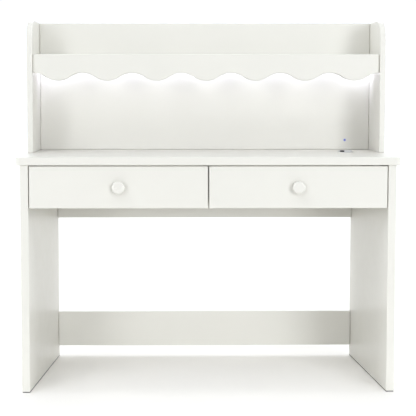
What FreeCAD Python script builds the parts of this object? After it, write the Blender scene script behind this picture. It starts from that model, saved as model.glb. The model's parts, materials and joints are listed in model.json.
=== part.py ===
import FreeCAD, Part
import math
import operator
import os
import types

import Sketcher

# Student desk with a hutch: two drawers on telescopic slides, a lit shelf behind a scalloped
# valance, and a cable grommet in the desktop. Sizes are in millimetres. X runs along the width,
# -Y is the front and +Z is up. The origin lies on the floor, under the middle of the whole outline.

SIZES = {
    # Desktop, side panels and rails
    "desk_width": 1200,
    "desk_depth": 500,
    "desk_height": 745,
    "top_thickness": 25,
    "top_corner": 12,
    "edge_round": 2,
    "leg_thickness": 25,
    "leg_inset": 12,
    "leg_toe": 40,
    "front_setback": 5,
    "rear_setback": 5,
    "rail_thickness": 18,
    "rail_end_gap": 0.9,
    "back_rail_height": 217,
    "stretcher_height": 123,
    "stretcher_rise": 41,
    "divider_thickness": 18,
    "divider_height": 122,
    "divider_gap": 4,
    "hanger_thickness": 18,
    "hanger_tail": 10,
    "hanger_gap": 2,
    # Strips under the side panels
    "strip_height": 2.5,
    "strip_inset": 1,
    # Drawer fronts and boxes
    "front_thickness": 18,
    "front_height": 132,
    "front_gap": 3,
    "center_gap": 4,
    "box_lift": 13,
    "box_height": 90,
    "box_depth": 255,
    "box_wall": 12,
    "bottom_thickness": 5,
    "bottom_rise": 8,
    "groove_depth": 5,
    "panel_gap": 0.2,
    # Knobs
    "knob_diameter": 40,
    "knob_length": 28,
    "knob_head": 16,
    "knob_neck_diameter": 18,
    "knob_foot_diameter": 24,
    "knob_foot": 3,
    "knob_crown": 7,
    "knob_back_round": 4,
    # Telescopic slides
    "slide_length": 250,
    "slide_height": 45,
    "slide_thickness": 12.7,
    "slide_sheet": 1.2,
    "slide_run_gap": 0.4,
    "slide_front_gap": 2,
    "slide_lip": 10.5,
    "slide_middle_offset": 3.4,
    "slide_screw_inset": 35,
    # Hutch
    "hutch_height": 445,
    "hutch_depth": 228,
    "hutch_thickness": 18,
    "hutch_corner": 75,
    "hutch_back_thickness": 15,
    "hutch_back_inset": 12,
    "hutch_back_round": 4,
    "shelf_rise": 330,
    "shelf_thickness": 18,
    "valance_thickness": 18,
    "valance_setback": 12,
    "valance_height": 62.5,
    "valance_round": 3,
    "scallop_count": 7,
    "scallop_depth": 26,
    # Light bar under the shelf
    "led_end_gap": 8,
    "led_width": 17,
    "led_height": 9,
    "led_wall": 1.2,
    "led_setback": 110,
    "led_strip_width": 10,
    "led_strip_thickness": 1.2,
    "led_chip": 5,
    "led_chip_height": 1.5,
    "led_chip_count": 38,
    "led_chip_margin": 10,
    "led_diffuser_thickness": 1.5,
    "led_cap_thickness": 2,
    # Switch with its indicator, and the lead to it
    "sensor_from_side": 86,
    "sensor_rise": 34.5,
    "sensor_diameter": 10,
    "sensor_flange_diameter": 14,
    "sensor_flange": 1.2,
    "sensor_lens_diameter": 7,
    "sensor_lens_length": 6,
    "module_width": 44,
    "module_height": 30,
    "module_depth": 10,
    "inlet_diameter": 8,
    "inlet_bore": 5.5,
    "inlet_length": 6,
    "inlet_recess": 4,
    "inlet_offset": 13,
    "lead_diameter": 3,
    "lead_bend": 5,
    "lead_hole": 6,
    "clip_width": 12,
    "clip_height": 8,
    "clip_depth": 9,
    # Cable grommet
    "grommet_from_side": 126,
    "grommet_from_front": 312,
    "grommet_diameter": 50,
    "grommet_flange_diameter": 55,
    "grommet_flange": 1.5,
    "grommet_wall": 1.6,
    "grommet_ledge": 2.5,
    "grommet_seat_depth": 6,
    "cap_rise": 6.2,
    "cap_thickness": 2,
    "cap_wall": 1.6,
    "cap_run_gap": 0.35,
    "cap_notch_width": 17,
    "cap_notch_length": 15,
    "cap_turn": 39,
    # Fasteners
    "fit_gap": 0.1,
    "dowel_diameter": 8,
    "dowel_length": 30,
    "dowel_inset": 95,
    "drawer_dowel_diameter": 6,
    "drawer_dowel_length": 20,
    "drawer_joint_inset": 13,
    "cam_diameter": 15,
    "cam_depth": 13,
    "cam_slot": 10,
    "cam_slot_width": 2,
    "cam_slot_depth": 2,
    "cam_reach": 34,
    "cam_inset": 60,
    "rail_cam_inset": 30,
    "bolt_diameter": 6,
    "bolt_offset": 8,
    "bolt_pilot": 11,
    "screw_diameter": 4,
    "screw_head_diameter": 8,
    "screw_head": 1.8,
    "slide_screw_length": 8,
    "box_screw_length": 35,
    "rail_screw_length": 45,
    "hutch_screw_length": 55,
    "knob_screw_length": 30,
    "screw_end_gap": 1,
}

doc = FreeCAD.newDocument("StudentDesk")
sheet = doc.addObject("Spreadsheet::Sheet", "Sizes")
for row, (name, size) in enumerate(SIZES.items(), 1):
    sheet.set(f"A{row}", name)
    sheet.set(f"B{row}", str(size))
    sheet.setAlias(f"B{row}", name)
doc.recompute()

OPERATORS = {"+": operator.add, "-": operator.sub, "*": operator.mul, "/": operator.truediv}


class Formula:
    """A size worked out from the sheet: the expression that binds it, and its value now."""

    def __init__(self, text, value):
        self.text = text
        self.value = value

    def __add__(self, other):
        return combine(self, "+", other)

    def __sub__(self, other):
        return combine(self, "-", other)

    def __rsub__(self, other):
        return combine(other, "-", self)

    def __mul__(self, other):
        return combine(self, "*", other)

    def __truediv__(self, other):
        return combine(self, "/", other)

    def __neg__(self):
        return combine(0, "-", self)


def formula(size):
    return size if isinstance(size, Formula) else Formula(str(size), size)


def combine(left, sign, right):
    left = formula(left)
    right = formula(right)
    return Formula(f"({left.text} {sign} {right.text})", OPERATORS[sign](left.value, right.value))


S = types.SimpleNamespace(**{name: Formula(f"Sizes.{name}", getattr(sheet, name)) for name in SIZES})

# Places worked out from the driving sizes
half_width = S.desk_width / 2
knob_reach = S.knob_length - S.front_setback
top_front = (knob_reach - S.desk_depth) / 2
top_back = top_front + S.desk_depth
top_under = S.desk_height - S.top_thickness
leg_outer = half_width - S.leg_inset
leg_inner = leg_outer - S.leg_thickness
leg_front = top_front + S.front_setback
leg_back = top_back - S.rear_setback
leg_slope = S.leg_toe / (leg_back - leg_front)
rail_front = leg_back - S.rail_thickness
rail_slant = S.rail_thickness * leg_slope
rail_half = leg_inner - S.leg_toe + rail_slant - S.rail_end_gap
divider_half = S.divider_thickness / 2
front_back = leg_front + S.front_thickness
front_bottom = top_under - S.front_gap - S.front_height
front_width = leg_inner - S.front_gap - S.center_gap / 2
box_bottom = front_bottom + S.box_lift
box_top = box_bottom + S.box_height
box_near = divider_half + S.slide_thickness
box_back = front_back + S.box_depth
slide_front = front_back + S.slide_front_gap
hanger_back = slide_front + S.slide_length + S.hanger_tail
hanger_outer = leg_inner - (hanger_back - leg_front) * leg_slope - S.hanger_gap
hanger_inner = hanger_outer - S.hanger_thickness
box_far = hanger_inner - S.slide_thickness
slide_bottom = box_bottom + S.box_height / 2 - S.slide_height / 2
hutch_front = top_back - S.hutch_depth
hutch_inner = half_width - S.hutch_thickness
panel_back = top_back - S.hutch_back_inset
panel_front = panel_back - S.hutch_back_thickness
valance_front = hutch_front + S.valance_setback
valance_back = valance_front + S.valance_thickness
shelf_top = S.desk_height + S.shelf_rise
shelf_bottom = shelf_top - S.shelf_thickness

X_AXIS, Y_AXIS, Z_AXIS = range(3)
# For each axis: the origin plane square to it, the two axes in that plane, and which way its normal points
PLANES = (
    ("YZ_Plane", (Y_AXIS, Z_AXIS), 1),
    ("XZ_Plane", (X_AXIS, Z_AXIS), -1),
    ("XY_Plane", (X_AXIS, Y_AXIS), 1),
)
# For each face of a board: the axis it is square to, and which end of that axis it closes
FACES = {
    "left": (X_AXIS, -1),
    "right": (X_AXIS, 1),
    "front": (Y_AXIS, -1),
    "back": (Y_AXIS, 1),
    "bottom": (Z_AXIS, -1),
    "top": (Z_AXIS, 1),
}
OPPOSITE = {
    "left": "right",
    "right": "left",
    "front": "back",
    "back": "front",
    "bottom": "top",
    "top": "bottom",
}
ORIGIN_POINT = (-1, 1)
LEVEL_AXIS_INDEX = -1
UPRIGHT_AXIS_INDEX = -2
TURN_UPSIDE = FreeCAD.Rotation(FreeCAD.Vector(0, 1, 0), 180)
TURN_FORWARD = FreeCAD.Rotation(FreeCAD.Vector(1, 0, 0), 90)
TURN_UNDER = FreeCAD.Rotation(FreeCAD.Vector(1, 0, 0), -90)

sub_parts = []


def bind(part, path, size):
    part.setExpression(path, formula(size).text)


def place(part, corner, turn=FreeCAD.Rotation()):
    part.Placement = FreeCAD.Placement(FreeCAD.Vector(), turn)
    for axis, size in zip("xyz", corner):
        bind(part, f"Placement.Base.{axis}", size)


def new_body(label):
    body = doc.addObject("PartDesign::Body", label)
    body.Label = label
    return body


def keep(part):
    """Marks a finished object as one of the sub-parts that are written out."""
    sub_parts.append(part)
    return part


def group(label, pieces):
    compound = doc.addObject("Part::Compound", label)
    compound.Label = label
    compound.Links = pieces
    return keep(compound)


def copy_of(master, corner, turn=FreeCAD.Rotation()):
    link = doc.addObject("App::Link", f"{master.Name}_copy")
    link.LinkedObject = master
    place(link, corner, turn)
    return link


def sketch_across(body, axis, offset=0):
    """A sketch square to one of the body's axes, at an offset along it."""
    role, _, side = PLANES[axis]
    sketch = body.newObject("Sketcher::SketchObject", "Sketch")
    plane = next(feature for feature in body.Origin.OriginFeatures if feature.Role == role)
    sketch.AttachmentSupport = (plane, [""])
    sketch.MapMode = "FlatFace"
    bind(sketch, "AttachmentOffset.Base.z", formula(offset) * side)
    return sketch


def dimension(sketch, size, kind, *points):
    index = sketch.addConstraint(Sketcher.Constraint(kind, *points, formula(size).value))
    bind(sketch, f"Constraints[{index}]", size)


def pin(sketch, element, point, level, upright):
    """Ties a point of the sketch to its place; a plain 0 puts it on the sketch's axis."""
    ties = (("DistanceX", UPRIGHT_AXIS_INDEX, level), ("DistanceY", LEVEL_AXIS_INDEX, upright))
    for kind, axis, size in ties:
        if isinstance(size, Formula):
            dimension(sketch, size, kind, *ORIGIN_POINT, element, point)
        else:
            sketch.addConstraint(Sketcher.Constraint("PointOnObject", element, point, axis))


def outline(sketch, corners):
    """A closed outline of straight lines."""
    first = sketch.GeometryCount
    points = [FreeCAD.Vector(formula(level).value, formula(upright).value) for level, upright in corners]
    for start, end in zip(points, points[1:] + points[:1]):
        sketch.addGeometry(Part.LineSegment(start, end))
    for index, (level, upright) in enumerate(corners):
        following = (index + 1) % len(corners)
        sketch.addConstraint(Sketcher.Constraint("Coincident", first + index, 2, first + following, 1))
        pin(sketch, first + index, 1, level, upright)


def circle(sketch, level, upright, diameter):
    center = FreeCAD.Vector(formula(level).value, formula(upright).value)
    ring = Part.Circle(center, FreeCAD.Vector(0, 0, 1), formula(diameter).value / 2)
    index = sketch.addGeometry(ring)
    pin(sketch, index, 3, level, upright)
    dimension(sketch, diameter, "Diameter", index)


def rectangle(sketch, low, high):
    outline(sketch, [(low[0], low[1]), (high[0], low[1]), (high[0], high[1]), (low[0], high[1])])


def pad(body, axis, sketch, length):
    feature = body.newObject("PartDesign::Pad", "Pad")
    feature.Profile = sketch
    feature.Reversed = PLANES[axis][2] < 0
    bind(feature, "Length", length)
    return feature


def pocket(body, axis, sketch, direction, depth=None):
    """Cuts along the axis, towards its plus or minus end; with no depth it cuts right through."""
    feature = body.newObject("PartDesign::Pocket", "Pocket")
    feature.Profile = sketch
    feature.Reversed = direction == PLANES[axis][2]
    if depth is None:
        feature.Type = "ThroughAll"
    else:
        bind(feature, "Length", depth)
    return feature


def round_edges(body, radius, chosen=None):
    """Rounds every edge of the body, or those whose box passes the test."""
    doc.recompute()
    base = body.Tip
    fillet = body.newObject("PartDesign::Fillet", "Fillet")
    if chosen is None:
        fillet.Base = (base, [""])
        fillet.UseAllEdges = True
    else:
        edges = enumerate(base.Shape.Edges, 1)
        fillet.Base = (base, [f"Edge{number}" for number, edge in edges if chosen(edge.BoundBox)])
    bind(fillet, "Radius", radius)


def turned(label, profile):
    """A body turned about its own Z axis, from corners given as radius and height."""
    body = new_body(label)
    sketch = sketch_across(body, Y_AXIS)
    outline(sketch, profile)
    revolution = body.newObject("PartDesign::Revolution", "Revolution")
    revolution.Profile = sketch
    revolution.ReferenceAxis = (sketch, ["V_Axis"])
    revolution.Angle = 360
    return body


class Board:
    """A flat panel, cut and drilled in the whole part's coordinates.

    It is a rectangle as deep as its thin axis, or an upright prism over a plan of corners counted
    from its low corner.
    """

    def __init__(self, label, low, high, thin_axis, plan=None):
        self.low = low
        self.high = high
        self.body = keep(new_body(label))
        size = [top - bottom for bottom, top in zip(low, high)]
        drawn_axis = thin_axis if plan is None else Z_AXIS
        first, second = PLANES[drawn_axis][1]
        sketch = sketch_across(self.body, drawn_axis)
        if plan is None:
            rectangle(sketch, (0, 0), (size[first], size[second]))
        else:
            outline(sketch, plan)
        pad(self.body, drawn_axis, sketch, size[drawn_axis])
        place(self.body, low)

    def ease(self, radius=S.edge_round):
        round_edges(self.body, radius)
        return self

    def face(self, name):
        axis, side = FACES[name]
        return self.high[axis] if side > 0 else self.low[axis]

    def middle(self, axis):
        return (self.low[axis] + self.high[axis]) / 2

    def sketch_on(self, face, start=None):
        axis, side = FACES[face]
        if start is None:
            offset = self.high[axis] - self.low[axis] if side > 0 else 0
        else:
            offset = start - self.low[axis]
        return sketch_across(self.body, axis, offset)

    def drill(self, face, points, diameter, depth=None, start=None):
        """Round holes into a face, at points of the whole part; they may start off the face."""
        axis, side = FACES[face]
        first, second = PLANES[axis][1]
        sketch = self.sketch_on(face, start)
        for point in points:
            circle(sketch, point[first] - self.low[first], point[second] - self.low[second], diameter)
        pocket(self.body, axis, sketch, -side, depth)

    def groove(self, face, low, high, depth):
        """A rectangular recess into a face, between two points of the whole part."""
        axis, side = FACES[face]
        first, second = PLANES[axis][1]
        sketch = self.sketch_on(face)
        start = (low[first] - self.low[first], low[second] - self.low[second])
        end = (high[first] - self.low[first], high[second] - self.low[second])
        rectangle(sketch, start, end)
        pocket(self.body, axis, sketch, -side, depth)


class SideLeg(Board):
    """A side panel of the desk, set in towards the back."""

    def __init__(self, label, side):
        self.side = side
        back_outer = leg_outer - S.leg_toe
        back_inner = leg_inner - S.leg_toe
        if side < 0:
            low_x, high_x = -leg_outer, -back_inner
            plan_x = (0, S.leg_thickness, S.leg_thickness + S.leg_toe, S.leg_toe)
        else:
            low_x, high_x = back_inner, leg_outer
            plan_x = (S.leg_toe, S.leg_toe + S.leg_thickness, S.leg_thickness, 0)
        plan = list(zip(plan_x, (0, 0, leg_back - leg_front, leg_back - leg_front)))
        low = (low_x, leg_front, S.strip_height)
        super().__init__(label, low, (high_x, leg_back, top_under), X_AXIS, plan)

    def inner_face(self, spot):
        """Where the inner face lies at a place between front and back."""
        return (leg_inner - (spot - leg_front) * leg_slope) * self.side

    def center_line(self, spot):
        return self.inner_face(spot) + S.leg_thickness / 2 * self.side


def normal(face):
    axis, side = FACES[face]
    direction = [0, 0, 0]
    direction[axis] = side
    return FreeCAD.Vector(*direction)


def both_ends(low, high, inset):
    return [low + inset, high - inset]


def point_at(coordinates):
    return tuple(coordinates[axis] for axis in range(3))


def moved(point, face, distance):
    """The point moved outwards from a face."""
    axis, side = FACES[face]
    return tuple(size + distance * side if index == axis else size for index, size in enumerate(point))


# Fasteners: one master of each, copied to its places

def screw_master(label, length):
    shank = S.screw_diameter / 2
    head = S.screw_head_diameter / 2
    top = length + S.screw_head
    return turned(label, [(0, 0), (shank, 0), (shank, length), (head, length), (head, top), (0, top)])


def dowel_master(label, diameter, length):
    radius = diameter / 2
    return turned(label, [(0, 0), (radius, 0), (radius, length), (0, length)])


def cam_master():
    """A cam lock: its outer face is on top, and the bolt comes in along +X."""
    cam = new_body("cam_lock_master")
    sketch = sketch_across(cam, Z_AXIS)
    circle(sketch, 0, 0, S.cam_diameter)
    pad(cam, Z_AXIS, sketch, S.cam_depth - S.fit_gap)
    sketch = sketch_across(cam, X_AXIS)
    circle(sketch, 0, S.cam_depth - S.fit_gap - S.bolt_offset, S.bolt_diameter + S.fit_gap * 4)
    pocket(cam, X_AXIS, sketch, 1)
    long_half = S.cam_slot / 2
    short_half = S.cam_slot_width / 2
    for level, upright in ((long_half, short_half), (short_half, long_half)):
        sketch = sketch_across(cam, Z_AXIS, S.cam_depth - S.fit_gap)
        rectangle(sketch, (-level, -upright), (level, upright))
        pocket(cam, Z_AXIS, sketch, -1, S.cam_slot_depth)
    return cam


slide_screw = screw_master("slide_screw_master", S.slide_screw_length)
box_screw = screw_master("box_screw_master", S.box_screw_length)
rail_screw = screw_master("rail_screw_master", S.rail_screw_length)
hutch_screw = screw_master("hutch_screw_master", S.hutch_screw_length)
wood_dowel = dowel_master("dowel_master", S.dowel_diameter, S.dowel_length)
drawer_dowel = dowel_master("drawer_dowel_master", S.drawer_dowel_diameter, S.drawer_dowel_length)
cam_lock = cam_master()
bolt_length = S.bolt_pilot + S.cam_reach - S.screw_end_gap
cam_bolt = dowel_master("cam_bolt_master", S.bolt_diameter, bolt_length)

fasteners = {"cam_locks": [], "cam_bolts": [], "dowels": []}


def aim(direction):
    """The turn that points a master's Z axis along a direction."""
    return FreeCAD.Rotation(FreeCAD.Vector(0, 0, 1), direction)


def screw_joint(screw, length, plate, face, partner, points):
    """Screws whose heads lie on a face of the plate, through it into the same face of the partner."""
    hole = S.screw_diameter + S.fit_gap * 2
    axis, _ = FACES[face]
    grip = length - (plate.high[axis] - plate.low[axis]) + S.screw_end_gap
    plate.drill(face, points, hole)
    partner.drill(face, points, hole, grip)
    return [copy_of(screw, moved(point, face, -length), aim(normal(face))) for point in points]


def dowel_joint(dowel, diameter, length, host, edge, partner, points):
    """Dowels half in the host's edge and half in the partner."""
    hole = diameter + S.fit_gap * 2
    depth = length / 2 + S.screw_end_gap
    host.drill(edge, points, hole, depth)
    partner.drill(OPPOSITE[edge], points, hole, depth)
    return [copy_of(dowel, moved(point, edge, -length / 2), aim(normal(edge))) for point in points]


def wood_dowels(host, edge, partner, points):
    fasteners["dowels"] += dowel_joint(
        wood_dowel, S.dowel_diameter, S.dowel_length, host, edge, partner, points
    )


def cam_joint(host, edge, face, partner, places, seats=None, sink=0, slack=0):
    """Cam locks in a face of the host, on bolts that stand in the partner and enter the host's edge.

    Seats give where the face lies at each place, if it is slanted; sink then keeps the cams below it,
    and slack starts the partner's holes ahead of a slanted partner's face.
    """
    edge_axis, edge_side = FACES[edge]
    face_axis, face_side = FACES[face]
    along = 3 - edge_axis - face_axis
    bolts = []
    for index, spot in enumerate(places):
        seat = seats[index] if seats else host.face(face)
        level = seat - (formula(sink) + S.bolt_offset) * face_side
        bolts.append(point_at({edge_axis: host.face(edge), face_axis: level, along: spot}))
    centers = [moved(point, edge, -S.cam_reach) for point in bolts]
    hole = S.bolt_diameter + S.fit_gap * 2
    for bolt, center in zip(bolts, centers):
        host.drill(edge, [bolt], hole, S.cam_reach)
        mouth = center[face_axis] + (S.bolt_offset + formula(sink) * 2) * face_side
        host.drill(face, [center], S.cam_diameter + S.fit_gap * 2, S.cam_depth + formula(sink) * 2, mouth)
        pilot_start = host.face(edge) - formula(slack) * edge_side
        partner.drill(OPPOSITE[edge], [bolt], hole, S.bolt_pilot + S.fit_gap + slack, pilot_start)
    to_partner = normal(edge)
    outwards = normal(face)
    cam_turn = FreeCAD.Rotation(to_partner, outwards.cross(to_partner), outwards, "XZY")
    for center, bolt in zip(centers, bolts):
        seat = moved(center, face, S.bolt_offset - S.cam_depth + S.fit_gap)
        fasteners["cam_locks"].append(copy_of(cam_lock, seat, cam_turn))
        start = moved(bolt, edge, S.bolt_pilot)
        fasteners["cam_bolts"].append(copy_of(cam_bolt, start, aim(-to_partner)))


# Desktop and side panels

desktop = Board(
    "desktop",
    (-half_width, top_front, top_under),
    (half_width, top_back, S.desk_height),
    Z_AXIS,
)
round_edges(
    desktop.body,
    S.top_corner,
    lambda box: box.ZLength > box.XLength + box.YLength and box.YMax < S.desk_depth.value / 2,
)
desktop.ease()

legs = {
    "left": SideLeg("left_leg", -1).ease(),
    "right": SideLeg("right_leg", 1).ease(),
}

# The rails' ends are cut to the slant of the side panels
rail_plan = [
    (0, 0),
    (rail_half * 2, 0),
    (rail_half * 2 - rail_slant, S.rail_thickness),
    (rail_slant, S.rail_thickness),
]
back_rail = Board(
    "back_rail",
    (-rail_half, rail_front, top_under - S.back_rail_height),
    (rail_half, leg_back, top_under),
    Y_AXIS,
    rail_plan,
).ease()

stretcher = Board(
    "stretcher",
    (-rail_half, rail_front, S.stretcher_rise),
    (rail_half, leg_back, S.stretcher_rise + S.stretcher_height),
    Y_AXIS,
    rail_plan,
).ease()

divider = Board(
    "drawer_divider",
    (-divider_half, front_back + S.divider_gap, top_under - S.divider_height),
    (divider_half, rail_front, top_under),
    X_AXIS,
)

# Between them and the divider, two short boards hang under the desktop to carry the outer slides
hangers = {
    "left": Board(
        "left_slide_hanger",
        (-hanger_outer, divider.low[Y_AXIS], divider.low[Z_AXIS]),
        (-hanger_inner, hanger_back, top_under),
        X_AXIS,
    ),
    "right": Board(
        "right_slide_hanger",
        (hanger_inner, divider.low[Y_AXIS], divider.low[Z_AXIS]),
        (hanger_outer, hanger_back, top_under),
        X_AXIS,
    ),
}

cam_sink = S.cam_diameter * leg_slope
for side, leg in legs.items():
    cam_spots = both_ends(leg_front, leg_back, S.cam_inset)
    cam_seats = [leg.inner_face(spot) for spot in cam_spots]
    cam_joint(leg, "top", OPPOSITE[side], desktop, cam_spots, cam_seats, cam_sink)
    dowel_spots = both_ends(leg_front, leg_back, S.dowel_inset)
    wood_dowels(leg, "top", desktop, [(leg.center_line(spot), spot, top_under) for spot in dowel_spots])
    for rail in (back_rail, stretcher):
        heights = both_ends(rail.low[Z_AXIS], rail.high[Z_AXIS], S.rail_cam_inset)
        cam_joint(rail, side, "back", leg, heights, slack=rail_slant)
    hanger = hangers[side]
    hanger_spots = both_ends(hanger.low[Y_AXIS], hanger.high[Y_AXIS], S.cam_inset)
    cam_joint(hanger, "top", side, desktop, hanger_spots)
    wood_dowels(hanger, "top", desktop, [(hanger.middle(X_AXIS), hanger.middle(Y_AXIS), top_under)])

divider_spots = both_ends(divider.low[Y_AXIS], divider.high[Y_AXIS], S.dowel_inset)
wood_dowels(divider, "top", desktop, [(formula(0), spot, top_under) for spot in divider_spots])
rail_spots = [-rail_half / 2, rail_half / 2]
wood_dowels(back_rail, "top", desktop, [(spot, back_rail.middle(Y_AXIS), top_under) for spot in rail_spots])
divider_heights = both_ends(divider.low[Z_AXIS], divider.high[Z_AXIS], S.rail_cam_inset)
divider_points = [(formula(0), back_rail.face("back"), height) for height in divider_heights]
group(
    "divider_screws",
    screw_joint(rail_screw, S.rail_screw_length, back_rail, "back", divider, divider_points),
)

# A dark strip glued under each side panel

strip_half = S.leg_thickness / 2 - S.strip_inset
strips = []
for leg in legs.values():
    strip = new_body(f"{leg.body.Label}_strip")
    sketch = sketch_across(strip, Z_AXIS)
    front, back = both_ends(leg_front, leg_back, S.strip_inset)
    outline(sketch, [
        (leg.center_line(front) - strip_half, front),
        (leg.center_line(front) + strip_half, front),
        (leg.center_line(back) + strip_half, back),
        (leg.center_line(back) - strip_half, back),
    ])
    pad(strip, Z_AXIS, sketch, S.strip_height)
    strips.append(strip)
group("foot_strips", strips)

# Telescopic slides: three nested channels, drawn from the desk's side towards the drawer

def channel(label, web_start, web_end, lip_end, low, high, length):
    """A channel of folded sheet; its web lies between two depths and its lips reach to a third."""
    body = new_body(label)
    sketch = sketch_across(body, Y_AXIS)
    sheet_low = low + S.slide_sheet
    sheet_high = high - S.slide_sheet
    outline(sketch, [
        (web_start, low),
        (lip_end, low),
        (lip_end, sheet_low),
        (web_end, sheet_low),
        (web_end, sheet_high),
        (lip_end, sheet_high),
        (lip_end, high),
        (web_start, high),
    ])
    pad(body, Y_AXIS, sketch, length)
    return body


nesting = S.slide_sheet + S.slide_run_gap
middle_web_end = S.slide_middle_offset + S.slide_sheet
runner_web = S.slide_thickness - S.slide_sheet


def slide_holes(body, side_offset, direction):
    """The two screw holes through a channel's web."""
    sketch = sketch_across(body, X_AXIS, side_offset)
    for spot in both_ends(formula(0), S.slide_length, S.slide_screw_inset):
        circle(sketch, spot, S.slide_height / 2, S.screw_diameter + S.fit_gap * 2)
    pocket(body, X_AXIS, sketch, direction, S.slide_sheet)


def slide(prefix, hand, cabinet_x):
    """The three members on one side of a drawer, open towards the drawer."""
    rail = channel(
        f"{prefix}_{hand}_slide_rail",
        formula(0), S.slide_sheet, S.slide_lip,
        formula(0), S.slide_height, S.slide_length,
    )
    slide_holes(rail, 0, 1)
    middle = channel(
        f"{prefix}_{hand}_slide_middle",
        S.slide_middle_offset, middle_web_end, runner_web - S.slide_run_gap,
        nesting, S.slide_height - nesting, S.slide_length,
    )
    runner = channel(
        f"{prefix}_{hand}_runner",
        S.slide_thickness, runner_web, middle_web_end + S.slide_run_gap,
        nesting * 2, S.slide_height - nesting * 2, S.slide_length,
    )
    slide_holes(runner, S.slide_thickness, -1)
    for member in (rail, middle, runner):
        if hand == "left":
            place(member, (cabinet_x, slide_front, slide_bottom))
        else:
            place(member, (cabinet_x, slide_front, slide_bottom + S.slide_height), TURN_UPSIDE)
    keep(rail)
    return middle, runner


rail_screws = []
slide_screw_grip = S.slide_screw_length - S.slide_sheet + S.fit_gap
slide_screw_hole = S.screw_diameter + S.fit_gap * 2
slide_spots = both_ends(slide_front, slide_front + S.slide_length, S.slide_screw_inset)
slide_height = slide_bottom + S.slide_height / 2


def slide_screws(board, face, web_face_x, points):
    """Short screws through a slide's web into a board's face."""
    board.drill(face, points, slide_screw_hole, slide_screw_grip)
    seats = [(web_face_x, point[Y_AXIS], point[Z_AXIS]) for point in points]
    starts = [moved(seat, face, -S.slide_screw_length) for seat in seats]
    return [copy_of(slide_screw, start, aim(normal(face))) for start in starts]


# Drawers

knob_radius = S.knob_diameter / 2
knob_neck = S.knob_neck_diameter / 2
knob_foot = S.knob_foot_diameter / 2
knob_shoulder = S.knob_length - S.knob_head
bore_radius = S.screw_diameter / 2 + S.fit_gap
bore_depth = S.knob_screw_length - S.front_thickness + S.screw_end_gap


def knob(label, center_x, center_z):
    """A mushroom knob, turned, with a blind hole for its screw."""
    body = turned(label, [
        (bore_radius, 0),
        (knob_foot, 0),
        (knob_foot, S.knob_foot),
        (knob_neck, S.knob_foot),
        (knob_neck, knob_shoulder),
        (knob_radius, knob_shoulder),
        (knob_radius, S.knob_length),
        (0, S.knob_length),
        (0, bore_depth),
        (bore_radius, bore_depth),
    ])
    on_rim = knob_radius.value * 1.9
    shoulder = knob_shoulder.value
    round_edges(body, S.knob_crown, lambda box: box.XLength > on_rim and box.ZMin > shoulder + 1)
    round_edges(body, S.knob_back_round, lambda box: box.XLength > on_rim and abs(box.ZMax - shoulder) < 1)
    place(body, (center_x, leg_front, center_z), TURN_FORWARD)
    return keep(body)


def drawer(side, front_low, box_low, cabinet_boards):
    prefix = f"{side}_drawer"
    box_high = box_low + (box_far - box_near)
    front = Board(
        f"{prefix}_front",
        (front_low, leg_front, front_bottom),
        (front_low + front_width, front_back, front_bottom + S.front_height),
        Y_AXIS,
    ).ease()
    inner_low = box_low + S.box_wall
    inner_high = box_high - S.box_wall
    walls = {
        "left": Board(
            f"{prefix}_side_left",
            (box_low, front_back, box_bottom),
            (inner_low, box_back, box_top),
            X_AXIS,
        ),
        "right": Board(
            f"{prefix}_side_right",
            (inner_high, front_back, box_bottom),
            (box_high, box_back, box_top),
            X_AXIS,
        ),
    }
    floor_low = box_bottom + S.bottom_rise
    floor_high = floor_low + S.bottom_thickness
    back = Board(
        f"{prefix}_back",
        (inner_low, box_back - S.box_wall, floor_high),
        (inner_high, box_back, box_top),
        Y_AXIS,
    )
    bottom_reach = S.groove_depth - S.panel_gap
    Board(
        f"{prefix}_bottom",
        (inner_low - bottom_reach, front_back - bottom_reach, floor_low),
        (inner_high + bottom_reach, box_back, floor_high),
        Z_AXIS,
    )
    groove_low = (inner_low - S.groove_depth, front_back, floor_low - S.panel_gap)
    groove_high = (inner_high + S.groove_depth, box_back, floor_high + S.panel_gap)
    front.groove("back", groove_low, groove_high, S.groove_depth)
    dowels = []
    screws = []
    runner_screws = []
    middles = []
    runners = []
    for hand, wall in walls.items():
        wall.groove(OPPOSITE[hand], groove_low, groove_high, S.groove_depth)
        heights = both_ends(floor_high, box_top, S.drawer_joint_inset)
        wall_x = wall.middle(X_AXIS)
        dowels += dowel_joint(
            drawer_dowel, S.drawer_dowel_diameter, S.drawer_dowel_length,
            wall, "front", front, [(wall_x, front_back, height) for height in heights],
        )
        screw_heights = both_ends(box_bottom + S.bottom_thickness, box_top, S.drawer_joint_inset)
        screw_points = [(wall.face(hand), back.middle(Y_AXIS), height) for height in screw_heights]
        screws += screw_joint(box_screw, S.box_screw_length, wall, hand, back, screw_points)
        cabinet = cabinet_boards[hand]
        cabinet_face = OPPOSITE[hand]
        cabinet_x = cabinet.face(cabinet_face)
        middle, runner = slide(prefix, hand, cabinet_x)
        middles.append(middle)
        runners.append(runner)
        points = [(cabinet_x, spot, slide_height) for spot in slide_spots]
        inwards = 1 if hand == "left" else -1
        rail_screws.extend(slide_screws(cabinet, cabinet_face, cabinet_x + S.slide_sheet * inwards, points))
        runner_screws += slide_screws(wall, hand, wall.face(hand) - S.slide_sheet * inwards, points)
    group(f"{prefix}_slide_middles", middles)
    group(f"{prefix}_runners", runners)
    group(f"{prefix}_runner_screws", runner_screws)
    group(f"{prefix}_dowels", dowels)
    group(f"{prefix}_screws", screws)
    center = (front.middle(X_AXIS), front_back, front.middle(Z_AXIS))
    front.drill("back", [center], S.screw_diameter + S.fit_gap * 2)
    knob(f"{prefix}_knob", center[X_AXIS], center[Z_AXIS])
    knob_screw = keep(screw_master(f"{side}_knob_screw", S.knob_screw_length))
    place(knob_screw, moved(center, "back", -S.knob_screw_length), aim(normal("back")))


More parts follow.
